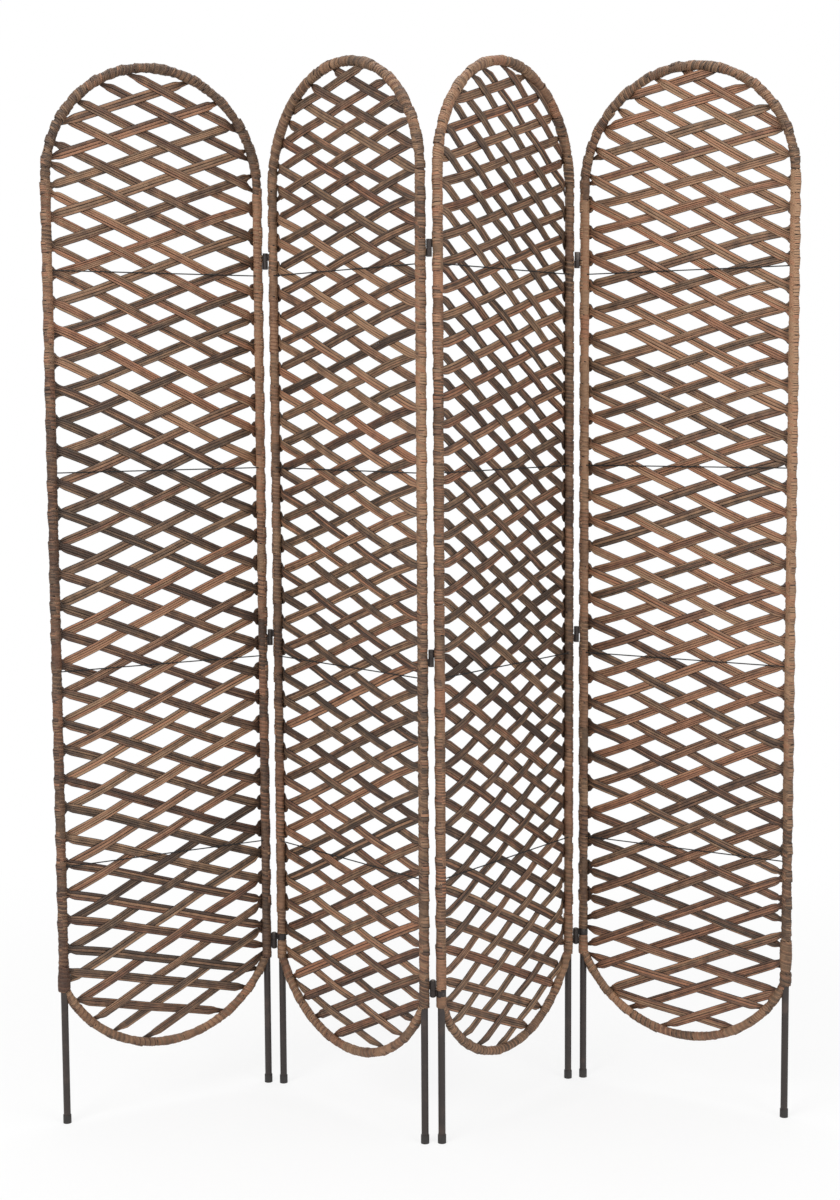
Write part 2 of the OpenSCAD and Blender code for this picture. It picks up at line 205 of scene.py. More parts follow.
# ---- Reed ------------------------------------------------------------------------
# The basket work is split and peeled reed, soaked, wound and woven wet and dried in place.
# Each strand is a flat oval with its own colour, from dark olive-brown to tan, streaked
# along its fibres, and painted darker towards its edges as shade from the gaps between
# neighbouring strands.

# Lengths of the reed work are in millimetres
LEG_SPACING = 385.0
HALF_WIDTH = LEG_SPACING / 2
ARCH_HEIGHT = 1599.5
CAP_RADIUS = 7.05
# Panels whose right leg stands farther back than their left one
RUN_BACK = (1, 3)
FRONT = np.array([0.0, -1.0, 0.0])


class Panel:
    """A panel's own plane: distance from its left leg, depth to the back, and height"""

    def __init__(self, number):
        low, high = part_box(f"leg_caps_{number}")
        inset = CAP_RADIUS * mm
        near, far = low.y + inset, high.y - inset
        if number not in RUN_BACK:
            near, far = far, near
        self.number = number
        self.left = np.array([low.x + inset, near])
        right = np.array([high.x - inset, far])
        self.along = (right - self.left) / np.linalg.norm(right - self.left)

    def world(self, points):
        """Panel points in millimetres as places in metres"""
        along, depth, height = points.T * mm
        x = self.left[0] + along * self.along[0] - depth * self.along[1]
        y = self.left[1] + along * self.along[1] + depth * self.along[0]
        return np.stack([x, y, height], axis=1)


panels = [Panel(number) for number in range(1, 5)]

# Outlines of a strand's cross-section, in shares of its width and thickness: an oval for
# the lattice, and one with a flat back for the turns that lie on a rod. Points on its
# sides count 1 as edge, and those of its faces FACE_EDGE. The edge value sets how much
# painted shade from the gaps between strands a point gets.
OVAL = np.array([(-0.5, 0), (-0.28, 0.5), (0.28, 0.5),
                 (0.5, 0), (0.28, -0.5), (-0.28, -0.5)])
FLAT_BACKED = np.array([(-0.5, -0.5), (-0.4, 0.5), (0.4, 0.5), (0.5, -0.5)])
FACE_EDGE = 0.57
# How far apart neighbouring strands lie in the pattern of the grain
GRAIN_STEP = 0.37


class ReedWork:
    """Lays strands of reed and joins them into one mesh"""

    def __init__(self):
        self.points, self.quads = [], []
        self.layers = {"shade": [], "warmth": [], "edge": [], "fibre": []}
        self.count = 0

    def lay(self, path, across, width, thickness, shade, warmth, outline=OVAL):
        """One strand along path. Across is the direction of its width at each point"""
        rings, sides = len(path), len(outline)
        run = np.gradient(path, axis=0)
        run /= np.linalg.norm(run, axis=1, keepdims=True)
        across = across - run * np.sum(across * run, axis=1, keepdims=True)
        across /= np.linalg.norm(across, axis=1, keepdims=True)
        rise = np.cross(run, across)
        width = np.broadcast_to(width, rings)[:, None, None]
        thickness = np.broadcast_to(thickness, rings)[:, None, None]
        wide = across[:, None, :] * outline[None, :, :1] * width
        thick = rise[:, None, :] * outline[None, :, 1:] * thickness
        self.points.append((path[:, None, :] + wide + thick).reshape(-1, 3))

        ring = np.arange(rings - 1)[:, None] * sides + np.arange(sides)
        turn = np.roll(np.arange(sides), -1) - np.arange(sides)
        quads = np.stack([ring, ring + sides, ring + turn + sides, ring + turn],
                         axis=-1).reshape(-1, 4)
        cap = np.array([(0, k + 1, k + 2, k + 3) for k in range(0, sides - 3, 2)])
        ends = np.concatenate([cap, cap[:, ::-1] + (rings - 1) * sides])
        self.quads.append(np.concatenate([quads, ends]) + self.count)
        self.count += rings * sides

        step = np.linalg.norm(np.diff(path, axis=0), axis=1)
        length = np.concatenate([[0], np.cumsum(step)])
        self.layers["fibre"].append(np.stack([
            np.repeat(length, sides), np.tile(outline[:, 0], rings),
            np.full(rings * sides, len(self.points) * GRAIN_STEP)], axis=1))
        edge = np.where(np.abs(outline[:, 0]) < 0.5, FACE_EDGE, 1.0)
        self.layers["edge"].append(np.tile(edge, rings))
        for title, value in (("shade", shade), ("warmth", warmth)):
            self.layers[title].append(np.repeat(np.broadcast_to(value, rings), sides))

    def piece(self, name, panel, replaced, slot):
        """The strands as one piece that rides on its panel"""
        points = panel.world(np.concatenate(self.points)).astype(np.float32)
        quads = np.concatenate(self.quads).astype(np.int32)
        made = bpy.data.meshes.new(name)
        made.vertices.add(len(points))
        made.vertices.foreach_set("co", points.ravel())
        made.loops.add(quads.size)
        made.loops.foreach_set("vertex_index", quads.ravel())
        made.polygons.add(len(quads))
        made.polygons.foreach_set("loop_start",
                                  np.arange(len(quads), dtype=np.int32) * 4)
        made.polygons.foreach_set("use_smooth", np.ones(len(quads), dtype=bool))
        for title, values in self.layers.items():
            kind, field = (("FLOAT_VECTOR", "vector") if title == "fibre"
                           else ("FLOAT", "value"))
            layer = made.attributes.new(title, kind, "POINT")
            values = np.concatenate(values).astype(np.float32)
            layer.data.foreach_set(field, values.ravel())
        made.update(calc_edges=True)
        made.materials.append(reed_finish)
        piece = bpy.data.objects.new(name, made)
        bpy.context.scene.collection.objects.link(piece)
        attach(piece, f"panel_{panel.number}")
        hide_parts(replaced)


# The grain's fineness along the fibres, across them and from strand to strand, and how
# much streaks and blotches add to how light a strand is
GRAIN_SCALE = (0.02, 5.0, 3.7)
STREAKS = 1.7
BLOTCHES = 1.5


def split_reed():
    """Reed's colour and grain, from what each strand carries: how light and how red it is,
    how near its edge, and its fibres' direction. Near its edges a strand is darkened with
    painted shade from the gaps between strands"""
    paint = Paint(bpy.data.materials.new("split_reed"))
    shade, warmth, edge = (
        paint.node("ShaderNodeAttribute", "Fac", {"attribute_name": title})
        for title in ("shade", "warmth", "edge"))
    fibre = paint.node("ShaderNodeAttribute", "Vector", {"attribute_name": "fibre"})
    grain = paint.node("ShaderNodeMapping", 0, Vector=fibre, Scale=GRAIN_SCALE)
    streak = paint.noise(grain, scale=2.0)
    blotch = paint.noise(paint.place(), scale=60)
    tone = paint.stretch(shade + (streak - 0.5) * STREAKS + (blotch - 0.5) * BLOTCHES,
                         -0.4, 1.4)
    cool = paint.mix(tone, srgb(75, 56, 41), srgb(192, 150, 114))
    warm = paint.mix(tone, srgb(86, 55, 39), srgb(198, 137, 101))
    # Painted shade: a strand darkens towards its edges, where the gaps between
    # neighbouring strands would be in shade
    painted_gap_shade = paint.stretch(edge, 0.35, 0.85)
    return paint.finish(
        Base_Color=paint.mix(painted_gap_shade, paint.mix(warmth, cool, warm), srgb(24, 18, 15)),
        Roughness=paint.stretch(streak, 0.25, 0.75, 0.5, 0.75),
        Normal=paint.bump(streak * 0.6 + blotch * 0.4, distance=0.4 * mm, strength=0.7))


reed_finish = split_reed()
chance = np.random.default_rng(20)


# ---- Hoop bindings ---------------------------------------------------------------
# Reed is wound round the tube, several strands side by side, from just below the bow up
# one leg, over the arch and down the other. It is wound in short lengths with fresh
# strands, and swells and steps from one to the next, most of all on the arch.

BINDING_START = 232.0
# Radius of the tube with a hair's gap round it
HOOP_CORE = 6.15
LEG_RUN = ARCH_HEIGHT - BINDING_START
ARCH_RUN = math.pi * HALF_WIDTH
HOOP_RUN = 2 * LEG_RUN + ARCH_RUN
STRAP_CLEARANCE = 0.3
STEPS_A_TURN = 12
STRAND_OVERLAP = 1.08
LUMP_SPACING = 5
# How much one strand's thickness, lightness and redness differ from the next one's, and
# one length's lightness and redness
STRAND_THICKER = (-0.3, 0.1)
STRAND_LIGHTER, STRAND_REDDER = 0.25, 0.3
LENGTH_LIGHTER, LENGTH_REDDER = 0.08, 0.12

# The winding on the legs and on the arch: how long a length is, how far its radius
# swells, how wide its strands are, and how lumpy it is
LEG_WINDING = {"lengths": (38, 58), "swell": 0.3, "widths": (2.1, 2.9), "lump": 0.3}
ARCH_WINDING = {"lengths": (16, 44), "swell": 1.1, "widths": (2.2, 4.0), "lump": 0.5}
# Shorter lengths start this far below the arch
SHORT_BELOW_ARCH = 40

# Each panel's winding on its left leg, its arch and its right leg: outside radius, how
# light it is at four heights (on the arch: left, on top and right), how red, and how
# many strands run side by side
WINDING = {
    1: ((8.5, (0.15, 0.14, 0.14, 0.55), 0.4, 3), (8.1, (0.25, 0.2, 0.2), 0.1, 4),
        (8.0, (0.07, 0.2, 0.9, 0.93), 0.4, 3)),
    2: ((7.8, (0.62, 0.37, 0.48, 0.67), 0.3, 3), (8.5, (0.4, 0.45, 0.55), 0.1, 4),
        (8.6, (0.25, 0.2, 1.18, 0.4), 0.2, 8)),
    3: ((8.6, (0.5, 0.47, 0.44, 0.78), 0.4, 2), (8.6, (0.8, 0.6, 0.35), 0.2, 3),
        (7.8, (0.6, 0.08, 0.34, 0.4), 0.2, 3)),
    4: ((8.0, (0.32, 0.6, 0.82, 1.18), 0.2, 3), (8.2, (0.35, 0.3, 0.4), 0.05, 4),
        (8.2, (0.24, 0.9, 1.33, 1.58), 0.1, 8)),
}
WINDING_HEIGHTS = (430, 800, 1150, 1440)

# The largest outside radius that lets the panels close, and the one that leaves room for
# the bottom hinge on the next leg
LARGEST = 9.5
LARGEST_BESIDE_HINGE = 8.75
HINGE_TOP = 285.0
# The foot of the winding covers the bow's ends. It is thicker by at least and at most
# this, at a length's start, middle and end, and thicker still on the two outer legs,
# which have no hinge
FOOT_TOP = 290
FOOT_SWELL = ((0.4, 0.8, 0.0), (0.9, 1.4, 0.5))
OUTER_LEGS = ((1, "left"), (4, "right"))
OUTER_SWELL = 1.4
OUTER_SHAPE = np.array([0.7, 1.0, 0.2])


def hoop_line(run):
    """Centre and inward side of the hoop at distances from its left start"""
    run = np.asarray(run, float)
    turn = math.pi - np.clip((run - LEG_RUN) / HALF_WIDTH, 0, math.pi)
    along = HALF_WIDTH + HALF_WIDTH * np.cos(turn)
    height = ARCH_HEIGHT + HALF_WIDTH * np.sin(turn)
    height = np.where(run < LEG_RUN, BINDING_START + run, height)
    height = np.where(run > LEG_RUN + ARCH_RUN, BINDING_START + HOOP_RUN - run, height)
    level = np.zeros_like(run)
    centre = np.stack([along, level, height], axis=-1)
    inward = np.stack([-np.cos(turn), level, -np.sin(turn)], axis=-1)
    return centre, inward


def wind(work, line, start, end, core, outside, strands, shade, warmth, width, lump,
         largest=LARGEST):
    """Winds strands side by side round a rod of radius core, from start to end. Outside
    is the winding's radius at its start, its middle and its end, before lumps are added
    to it, and largest the most that it may have"""
    lead = strands * width
    run = np.linspace(start, end, max(int((end - start) / lead * STEPS_A_TURN), 6))
    first = chance.uniform(0, 2 * math.pi)
    lumps = np.arange(start, end + LUMP_SPACING, LUMP_SPACING)
    radius = (np.interp(run, (start, (start + end) / 2, end), outside)
              + np.interp(run, lumps, chance.normal(0, lump, len(lumps))))
    thickness = np.minimum(radius, largest) - core
    centre, inward = line(run)
    for strand in range(strands):
        angle = first + 2 * math.pi * ((run - start) / lead - strand / strands)
        strand_thickness = thickness + chance.uniform(*STRAND_THICKER)
        out = core + strand_thickness / 2
        path = centre + out[:, None] * (np.cos(angle)[:, None] * inward
                                        + np.sin(angle)[:, None] * FRONT)
        work.lay(path, np.cross(inward, FRONT), width * STRAND_OVERLAP, strand_thickness,
                 shade + chance.normal(0, STRAND_LIGHTER),
                 warmth + chance.normal(0, STRAND_REDDER), FLAT_BACKED)


for panel in panels:
    work = ReedWork()
    bounds = [0.0]
    if panel.number > 1:
        low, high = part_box(f"bottom_strap_{FOLDS[panel.number - 2]}")
        bounds += [low.z / mm - STRAP_CLEARANCE - BINDING_START,
                   high.z / mm + STRAP_CLEARANCE - BINDING_START]
    under_strap = len(bounds) - 2
    while bounds[-1] < HOOP_RUN:
        arched = LEG_RUN - SHORT_BELOW_ARCH < bounds[-1] < LEG_RUN + ARCH_RUN
        lengths = (ARCH_WINDING if arched else LEG_WINDING)["lengths"]
        bounds.append(min(bounds[-1] + chance.uniform(*lengths), HOOP_RUN))
    left, arch, right = WINDING[panel.number]
    for k, (start, end) in enumerate(zip(bounds[:-1], bounds[1:])):
        if k == under_strap:
            continue
        middle = (start + end) / 2
        along, _, height = hoop_line(middle)[0]
        on_arch = LEG_RUN < middle < LEG_RUN + ARCH_RUN
        style = ARCH_WINDING if on_arch else LEG_WINDING
        radius, lights, warmth, strands = (
            arch if on_arch else left if middle < LEG_RUN else right)
        shade = (np.interp(along, (0, HALF_WIDTH, LEG_SPACING), lights) if on_arch
                 else np.interp(height, WINDING_HEIGHTS, lights))
        width = chance.uniform(*style["widths"])
        swell = style["swell"]
        outside = radius + chance.uniform((-swell, -swell / 2, -swell),
                                          (swell, swell, swell))
        side = "left" if along < HALF_WIDTH else "right"
        outer_leg = (panel.number, side) in OUTER_LEGS
        lowest = min(hoop_line([start, end])[0][:, 2])
        beside_hinge = not outer_leg and lowest < HINGE_TOP
        largest = LARGEST_BESIDE_HINGE if beside_hinge else LARGEST
        if height < FOOT_TOP:
            outside = outside + chance.uniform(*FOOT_SWELL)
            if outer_leg:
                outside = outside + OUTER_SWELL * OUTER_SHAPE
                largest += OUTER_SWELL
        wind(work, hoop_line, start, end, HOOP_CORE, outside, strands,
             shade + chance.normal(0, LENGTH_LIGHTER),
             warmth + chance.normal(0, LENGTH_REDDER), width, style["lump"], largest)
    work.piece(f"wound_hoop_{panel.number}", panel,
               f"hoop_binding_{panel.number}", "binding_reed")


# ---- Bow bindings ----------------------------------------------------------------
# The bow is wound in the same way from leg to leg, a little more loosely, before the
# legs are wound over its ends.

BOW_LOW = 112.0
BOW_END = 240.0
BOW_RADIUS = (HALF_WIDTH ** 2 + (BOW_END - BOW_LOW) ** 2) / (2 * (BOW_END - BOW_LOW))
BOW_CENTRE = BOW_LOW + BOW_RADIUS
BOW_HALF = math.asin(HALF_WIDTH / BOW_RADIUS)
BOW_CORE = 5.65
BOW_OUTSIDE = 7.6
BOW_SWELL = ((-0.4, -0.2, -0.4), (0.5, 0.5, 0.5))
BOW_LENGTHS = (30, 60)
BOW_STRANDS = 4
BOW_STRAND_WIDTH = 2.4
BOW_LUMP = 0.3
BOW_SHADE, BOW_LIGHTER = 0.5, 0.15
BOW_WARMTH = (0.0, 0.4)
LEG_OUTSIDE = 8.5


def bow_line(run):
    """Centre and inward side of the bow at distances from its left end"""
    turn = np.asarray(run, float) / BOW_RADIUS - BOW_HALF
    level = np.zeros_like(turn)
    centre = np.stack([HALF_WIDTH + BOW_RADIUS * np.sin(turn), level,
                       BOW_CENTRE - BOW_RADIUS * np.cos(turn)], axis=-1)
    inward = np.stack([-np.sin(turn), level, np.cos(turn)], axis=-1)
    return centre, inward


for panel in panels:
    work = ReedWork()
    start, last = LEG_OUTSIDE, 2 * BOW_HALF * BOW_RADIUS - LEG_OUTSIDE
    while start < last - 1:
        end = min(start + chance.uniform(*BOW_LENGTHS), last)
        wind(work, bow_line, start, end, BOW_CORE,
             BOW_OUTSIDE + chance.uniform(*BOW_SWELL), BOW_STRANDS,
             BOW_SHADE + chance.normal(0, BOW_LIGHTER), chance.uniform(*BOW_WARMTH),
             BOW_STRAND_WIDTH, BOW_LUMP)
        start = end
    work.piece(f"wound_bow_{panel.number}", panel,
               f"bow_binding_{panel.number}", "binding_reed")


# ---- Lattice ---------------------------------------------------------------------
# Bands of three to five strands side by side fall and rise across each panel and pass
# over and under each other. At the legs a falling and a rising band draw together in a
# knot: they narrow, run behind the rod, fan out and are wrapped round it.

BAND_WIDTH = 15.0
STRAND_THICKNESS = 2.0
# How often a band has three, four or five strands, and how much wider each of them is
# than its share of the band
STRAND_COUNTS = {3: 0.2, 4: 0.65, 5: 0.15}
STRAND_FULLNESS = 1.2
# How far a band lies in front of the lattice's middle or behind it, where it crosses
LIFT = 1.15
RING_SPACING = 8.5
# Panels where the lowest rising band passes in front of the lowest falling one
RISING_FIRST = (1, 2, 4)
# The highest bands cross the panel's middle line below these heights
LATTICE_TOP = 1776
CORNER_TOPS = {(3, "falling"): 1840, (4, "falling"): 1800}
# For each panel and family: how far the first band starts above the bow, the spacing
# at three heights, the shift of every other band, and the slope at five heights
PITCH_HEIGHTS = (200, 900, 1600)
SLOPE_HEIGHTS = (200, 550, 900, 1250, 1600)
WEAVE = {
    (1, "falling"): (61, (43.5, 51, 44), -2.5, (0.24, 0.39, 0.41, 0.51, 0.41)),
    (1, "rising"): (34, (48, 49, 48.5), -1, (0.50, 0.47, 0.44, 0.38, 0.36)),
    (2, "falling"): (44.5, (45, 43.5, 42.5), -2.5, (0.26, 0.30, 0.42, 0.44, 0.48)),
    (2, "rising"): (36, (45, 44, 42), -1, (0.49, 0.50, 0.37, 0.31, 0.28)),
    (3, "falling"): (42.5, (47, 43.5, 46), 2.5, (0.42, 0.60, 0.65, 0.68, 0.74)),
    (3, "rising"): (17.5, (49.5, 45, 42), -0.5, (0.53, 0.51, 0.37, 0.30, 0.31)),
    (4, "falling"): (42.5, (48, 44.5, 44), -2.5, (0.13, 0.40, 0.43, 0.48, 0.60)),
    (4, "rising"): (26.5, (49, 45, 43), -1, (0.45, 0.48, 0.35, 0.30, 0.19)),
}
# Batches of reed from the bottom up: the height where each starts, how light it is,
# and how red
BATCHES = {
    (1, "falling"): ((0, 0.15, 0.3), (420, 0.08, 0.1), (1200, 0.7, 0.5),
                     (1500, 0.4, 0.3)),
    (1, "rising"): ((0, 0.2, 0.1), (470, 0.75, 0.5), (940, 0.5, 0.2), (1100, 0.3, 0.1),
                    (1380, 0.5, 0.2)),
    (2, "falling"): ((0, 0.45, 0.3), (520, 0.06, 0.1), (960, 0.3, 0.3),
                     (1080, 0.65, 0.5), (1260, 0.85, 0.4), (1480, 0.25, 0.3)),
    (2, "rising"): ((0, 0.4, 0.7), (300, 0.08, 0.3), (520, 0.45, 0.6), (940, 0.3, 0.4),
                    (1060, 0.15, 0.2), (1400, 0.25, 0.2)),
    (3, "falling"): ((0, 0.33, 0.5), (680, 0.08, 0.1), (1260, 0.2, 0.1)),
    (3, "rising"): ((0, 0.5, 0.2), (420, 0.1, 0.1), (960, 0.32, 0.2), (1150, 0.6, 0.4),
                    (1480, 0.3, 0.4), (1600, 0.6, 0.4)),
    (4, "falling"): ((0, 0.57, 0.7), (300, 0.15, 0.4), (780, 0.85, 0.6),
                     (1150, 0.65, 0.4), (1260, 0.9, 0.5)),
    (4, "rising"): ((0, 0.55, 0.9), (300, 0.3, 0.5), (560, 0.7, 0.8), (940, 0.4, 0.3),
                    (1260, 0.5, 0.2), (1480, 0.65, 0.5)),
}
# How much one band's lightness and redness differ from the next one's in its batch, and
# one strand's from the next one's in its band
BAND_LIGHTER, BAND_REDDER = 0.11, 0.2
REED_LIGHTER, REED_REDDER = 0.25, 0.35


def room(along, height):
    """Distance inwards from the rods' centre lines"""
    sides = np.minimum(along, LEG_SPACING - along)
    arch = HALF_WIDTH - np.hypot(along - HALF_WIDTH, height - ARCH_HEIGHT)
    bow = BOW_RADIUS - np.hypot(along - HALF_WIDTH, height - BOW_CENTRE)
    inside = np.where(height > ARCH_HEIGHT, arch, sides)
    return np.where(height < BOW_CENTRE, np.minimum(inside, bow), inside)


# How much of its width a band keeps where it is narrowest and where it reaches an arch
# or a bow, and how far from a rod it starts to narrow, met squarely and at a slant
WAISTS = (0.6, 0.8)
FLARES = (0.35, 0.6)
SQUARE_REACH = 24.0
SLANT_REACH = 15.0
LEG_KNOTS_FROM = BOW_END + 12
FINE_STEP = 0.25


class BandEnd:
    """Where a band meets a rod. Way is -1 at its left end and 1 at its right one"""

    def __init__(self, middle, slope, way):
        inside = -slope * max(middle - ARCH_HEIGHT, 0) / (1 + slope ** 2)
        run = inside + np.arange(0, 2 * LEG_SPACING, FINE_STEP) * way
        along, height = HALF_WIDTH + run, middle + slope * run
        first = np.nonzero(room(along, height) <= 0)[0][0]
        self.spot = np.array([along[first], height[first]])
        self.run = float(run[first])
        self.way = way
        self.pull = 0.0
        self.waist = chance.uniform(*WAISTS)
        self.flare = chance.uniform(*FLARES)
        self.on_leg = LEG_KNOTS_FROM < self.spot[1] < ARCH_HEIGHT
        if self.spot[1] > ARCH_HEIGHT:
            inward = np.array([HALF_WIDTH, ARCH_HEIGHT]) - self.spot
        elif 1 < self.spot[0] < LEG_SPACING - 1:
            inward = np.array([HALF_WIDTH, BOW_CENTRE]) - self.spot
        else:
            inward = np.array([-way, 0.0])
        self.inward = inward / np.linalg.norm(inward)
        self.facing = -float(np.array([way, way * slope]) @ self.inward
                             / math.hypot(1, slope))

    def start(self, slope, chord):
        """The run where the band starts to narrow towards this end"""
        facing = max(self.facing, 0.25)
        reach = SQUARE_REACH if facing > 0.6 else SLANT_REACH
        return self.run - self.way * min(reach / facing / math.hypot(1, slope),
                                         0.4 * chord)


# How far from a knot the bands begin to bend towards it
KNOT_REACH = 110.0


class Band:
    """The line that a band follows, straight but for its ends, which knots pull aside"""

    def __init__(self, middle, slope):
        self.middle = middle
        self.slope = slope
        self.ends = {way: BandEnd(middle, slope, way) for way in (-1, 1)}

    def height(self, run):
        height = self.middle + self.slope * run
        for end in self.ends.values():
            height = height + end.pull * np.clip(
                1 - np.abs(end.run - run) / KNOT_REACH, 0, 1) ** 2
        return height


def family_bands(number, family):
    """The bands of one family from the bottom up"""
    start, pitch, shift, slopes = WEAVE[number, family]
    way = -1 if family == "falling" else 1
    bands, height = [], BOW_LOW + start
    while height <= CORNER_TOPS.get((number, family), LATTICE_TOP):
        moved = height + (shift if len(bands) % 2 == 0 else -shift)
        slope = way * float(np.interp(height, SLOPE_HEIGHTS, slopes))
        bands.append(Band(moved, slope))
        height += float(np.interp(height, PITCH_HEIGHTS, pitch))
    return bands


# Partners reach the leg about PARTNER_GAP apart. A knot keeps a share of this gap, less
# a little, and at most LARGEST_GAP, and its ends are the wider the more of it is kept.
# Partners that have crossed by more than MOST_CROSSED stay as they are
PARTNER_GAP = 17
GAP_KEPT = 0.65
DRAWN_IN = 3
LARGEST_GAP = 16
MOST_CROSSED = 10
KNOT_WAIST = 0.6
WAIST_PER_GAP = 0.02
KNOT_FLARE = 1.4


def tie_knots(falling, rising):
    """Draws a falling and a rising end together in each knot along the legs. Partners
    are the same number of bands apart all the way up a leg"""
    for way in (-1, 1):
        falls, rises = ({number: band.ends[way].spot[1]
                         for number, band in enumerate(bands) if band.ends[way].on_leg}
                        for bands in (falling, rising))
        steps = [min(falls, key=lambda n: abs(way * (height - falls[n]) - PARTNER_GAP))
                 - number for number, height in rises.items()]
        step = sorted(steps)[len(steps) // 2]
        for number, height in rises.items():
            if number + step not in falls:
                continue
            gap = way * (height - falls[number + step])
            if gap < -MOST_CROSSED:
                continue
            kept = min(GAP_KEPT * gap - DRAWN_IN, LARGEST_GAP)
            for end, side in ((falling[number + step].ends[way], -way),
                              (rising[number].ends[way], way)):
                end.pull = side * (kept - gap) / 2
                end.waist = KNOT_WAIST + WAIST_PER_GAP * max(kept, 0)
                end.flare = KNOT_FLARE


# The share of a crossing's length where the two bands lie flat on each other
FLAT_SHARE = 0.6


def woven_depth(run, band, number, others, over):
    """Depth of a band: flat in front of or behind each band that it crosses, and sloping
    in between"""
    laps = []
    for other_number, other in enumerate(others):
        place = (other.middle - band.middle) / (band.slope - other.slope)
        if abs(place) < HALF_WIDTH + 2 * BAND_WIDTH:
            meet = abs(math.atan(band.slope) - math.atan(other.slope))
            lap = BAND_WIDTH / 2 * (1 / math.sin(meet) + 1 / math.tan(meet))
            side = over * LIFT * (1 if (number + other_number) % 2 else -1)
            laps.append((place, FLAT_SHARE * lap / math.hypot(1, band.slope), side))
    laps.sort()
    stops = [stop for place, lap, side in laps for stop in (place - lap, place + lap)]
    depths = [side for place, lap, side in laps for end in (-1, 1)]
    return np.interp(run, stops, depths)


# Outside radius of a wrap, what the front or the back layer adds to it, and its radius
# low down, where it leaves room for the bottom hinge on the next leg
WRAP_RADIUS = 8.55
WRAP_LAYER = 0.3
LOW_WRAP_RADIUS = 7.7
LOW_WRAP_TOP = 305.0
WRAP_TURN = math.radians(200)
LEAST_ROOM = 1.15
# The last part of a wrap dips under the winding
TUCK_DEPTH = 1.6
TUCKED_FROM = 0.75
# How far partners keep apart in depth, and how far a slanting band creeps along the rod
PARTING = 0.9
CREEP = 10
# How much of its turn into the rod's direction a band has made when it reaches the rod
TURNED = 0.7
WRAPPED_SPREAD = 1.1
TAUT_STEPS = 10
WRAP_STEPS = 9
# Shares of the taut run to the rod where its spread and its shadow change
SPREAD_AT = (0, 0.25, 0.42, 0.6, 0.75, 1)
SHADOW_AT = (0, 0.3, 0.65, 1)
SHADOWS = (0, 0.1, 1, 0.8)


def wrapped_end(end, start, upright, layer):
    """The end of a band: it narrows, runs taut behind the rod and goes round it. Layer is
    -1 where it passes its partner in front, and 1 behind. Gives the path, the direction
    across it, how far its strands spread, how much it is part of the winding, and how
    deep it lies in the knot's shadow"""
    spot = end.spot + np.array([0.0, end.pull])
    low_down = spot[1] < LOW_WRAP_TOP
    radius = LOW_WRAP_RADIUS if low_down else WRAP_RADIUS + WRAP_LAYER * layer
    direction = np.array([end.inward[1], -end.inward[0]])
    offset = np.array([start[0], start[2]]) - spot
    inwards, sideways = float(offset @ end.inward), float(offset @ direction)
    inwards = max(inwards, radius * LEAST_ROOM)
    meet = math.acos(radius / inwards)
    touch = radius * math.cos(meet)

    taut = np.linspace(0, 1, TAUT_STEPS + 1)[1:]
    wrap = np.linspace(0, 1, WRAP_STEPS + 1)[1:]
    angle = meet + WRAP_TURN * wrap
    sunk = radius - TUCK_DEPTH * np.clip((wrap - TUCKED_FROM) / (1 - TUCKED_FROM), 0, 1)
    inner = np.concatenate([inwards + (touch - inwards) * taut, sunk * np.cos(angle)])
    behind = np.concatenate([
        start[1] + (radius * math.sin(meet) - start[1]) * taut
        + PARTING * layer * np.sin(taut * math.pi), sunk * np.sin(angle)])
    drift = max(-1.0, min(1.0, sideways / inwards))
    arc = radius * WRAP_TURN * wrap
    shift = np.concatenate([
        sideways * (1 + (touch / inwards - 1) * taut),
        sideways * touch / inwards - drift * CREEP * (1 - np.exp(-arc / CREEP))])
    flat = spot + inner[:, None] * end.inward + shift[:, None] * direction
    path = np.stack([flat[:, 0], behind, flat[:, 1]], axis=1)

    along_rod = np.array([direction[0], 0, direction[1]])
    if along_rod @ upright < 0:
        along_rod = -along_rod
    ease = np.concatenate([taut * TURNED, TURNED + (1 - TURNED) * wrap])[:, None]
    across = upright * (1 - ease) + along_rod * ease
    across /= np.linalg.norm(across, axis=1, keepdims=True)
    opening = 0.7 * end.waist + 0.3 * end.flare
    spread = np.concatenate([
        np.interp(taut, SPREAD_AT, (1, 0.88, end.waist, opening, end.flare, end.flare)),
        end.flare + (WRAPPED_SPREAD - end.flare) * wrap])
    wound = np.concatenate([np.clip(taut * 2 - 1.2, 0, 1), np.ones(len(wrap))])
    shadow = np.concatenate([np.interp(taut, SHADOW_AT, SHADOWS),
                             np.clip(0.7 - 2.5 * wrap, 0, 1)])
    return path, across, spread, wound, shadow


def laid_band(band, number, others, over):
    """A band from end to end, with the same values at each point as its wrapped ends"""
    left, right = band.ends[-1], band.ends[1]
    chord = right.run - left.run
    first, last = left.start(band.slope, chord), right.start(band.slope, chord)
    run = np.linspace(first, last, max(int((last - first) / RING_SPACING), 3))
    depth = woven_depth(run, band, number, others, over)
    path = np.stack([HALF_WIDTH + run, depth, band.height(run)], axis=1)
    upright = np.array([-band.slope, 0, 1]) / math.hypot(1, band.slope)
    plain = np.zeros(len(run))
    body = (path, np.tile(upright, (len(run), 1)), plain + 1, plain, plain)
    both_ends = np.array([left.run, right.run])
    layers = woven_depth(both_ends, band, number, others, over) / LIFT
    head = wrapped_end(left, path[0], upright, layers[0])
    tail = wrapped_end(right, path[-1], upright, layers[1])
    return [np.concatenate([a[::-1], b, c]) for a, b, c in zip(head, body, tail)]


def winding_colour(end, panel_winding):
    """How light and how red the winding is where a band is tied in"""
    left, arch, right = panel_winding
    if not end.on_leg:
        return arch[1][1], arch[2]
    leg = left if end.way < 0 else right
    return np.interp(end.spot[1], WINDING_HEIGHTS, leg[1]), leg[2]


# How far a strand wavers in its band and ripples in depth, and over what length
WAVER, WAVER_LENGTH = 0.3, 31
RIPPLE, RIPPLE_LENGTH = 0.2, 23
FULL_TURN = 6.28
# How much thinner a strand is in a wrap, and how much darker in a knot's shadow
WRAP_THINNING = 0.4
SHADOW_STRENGTH = 0.45

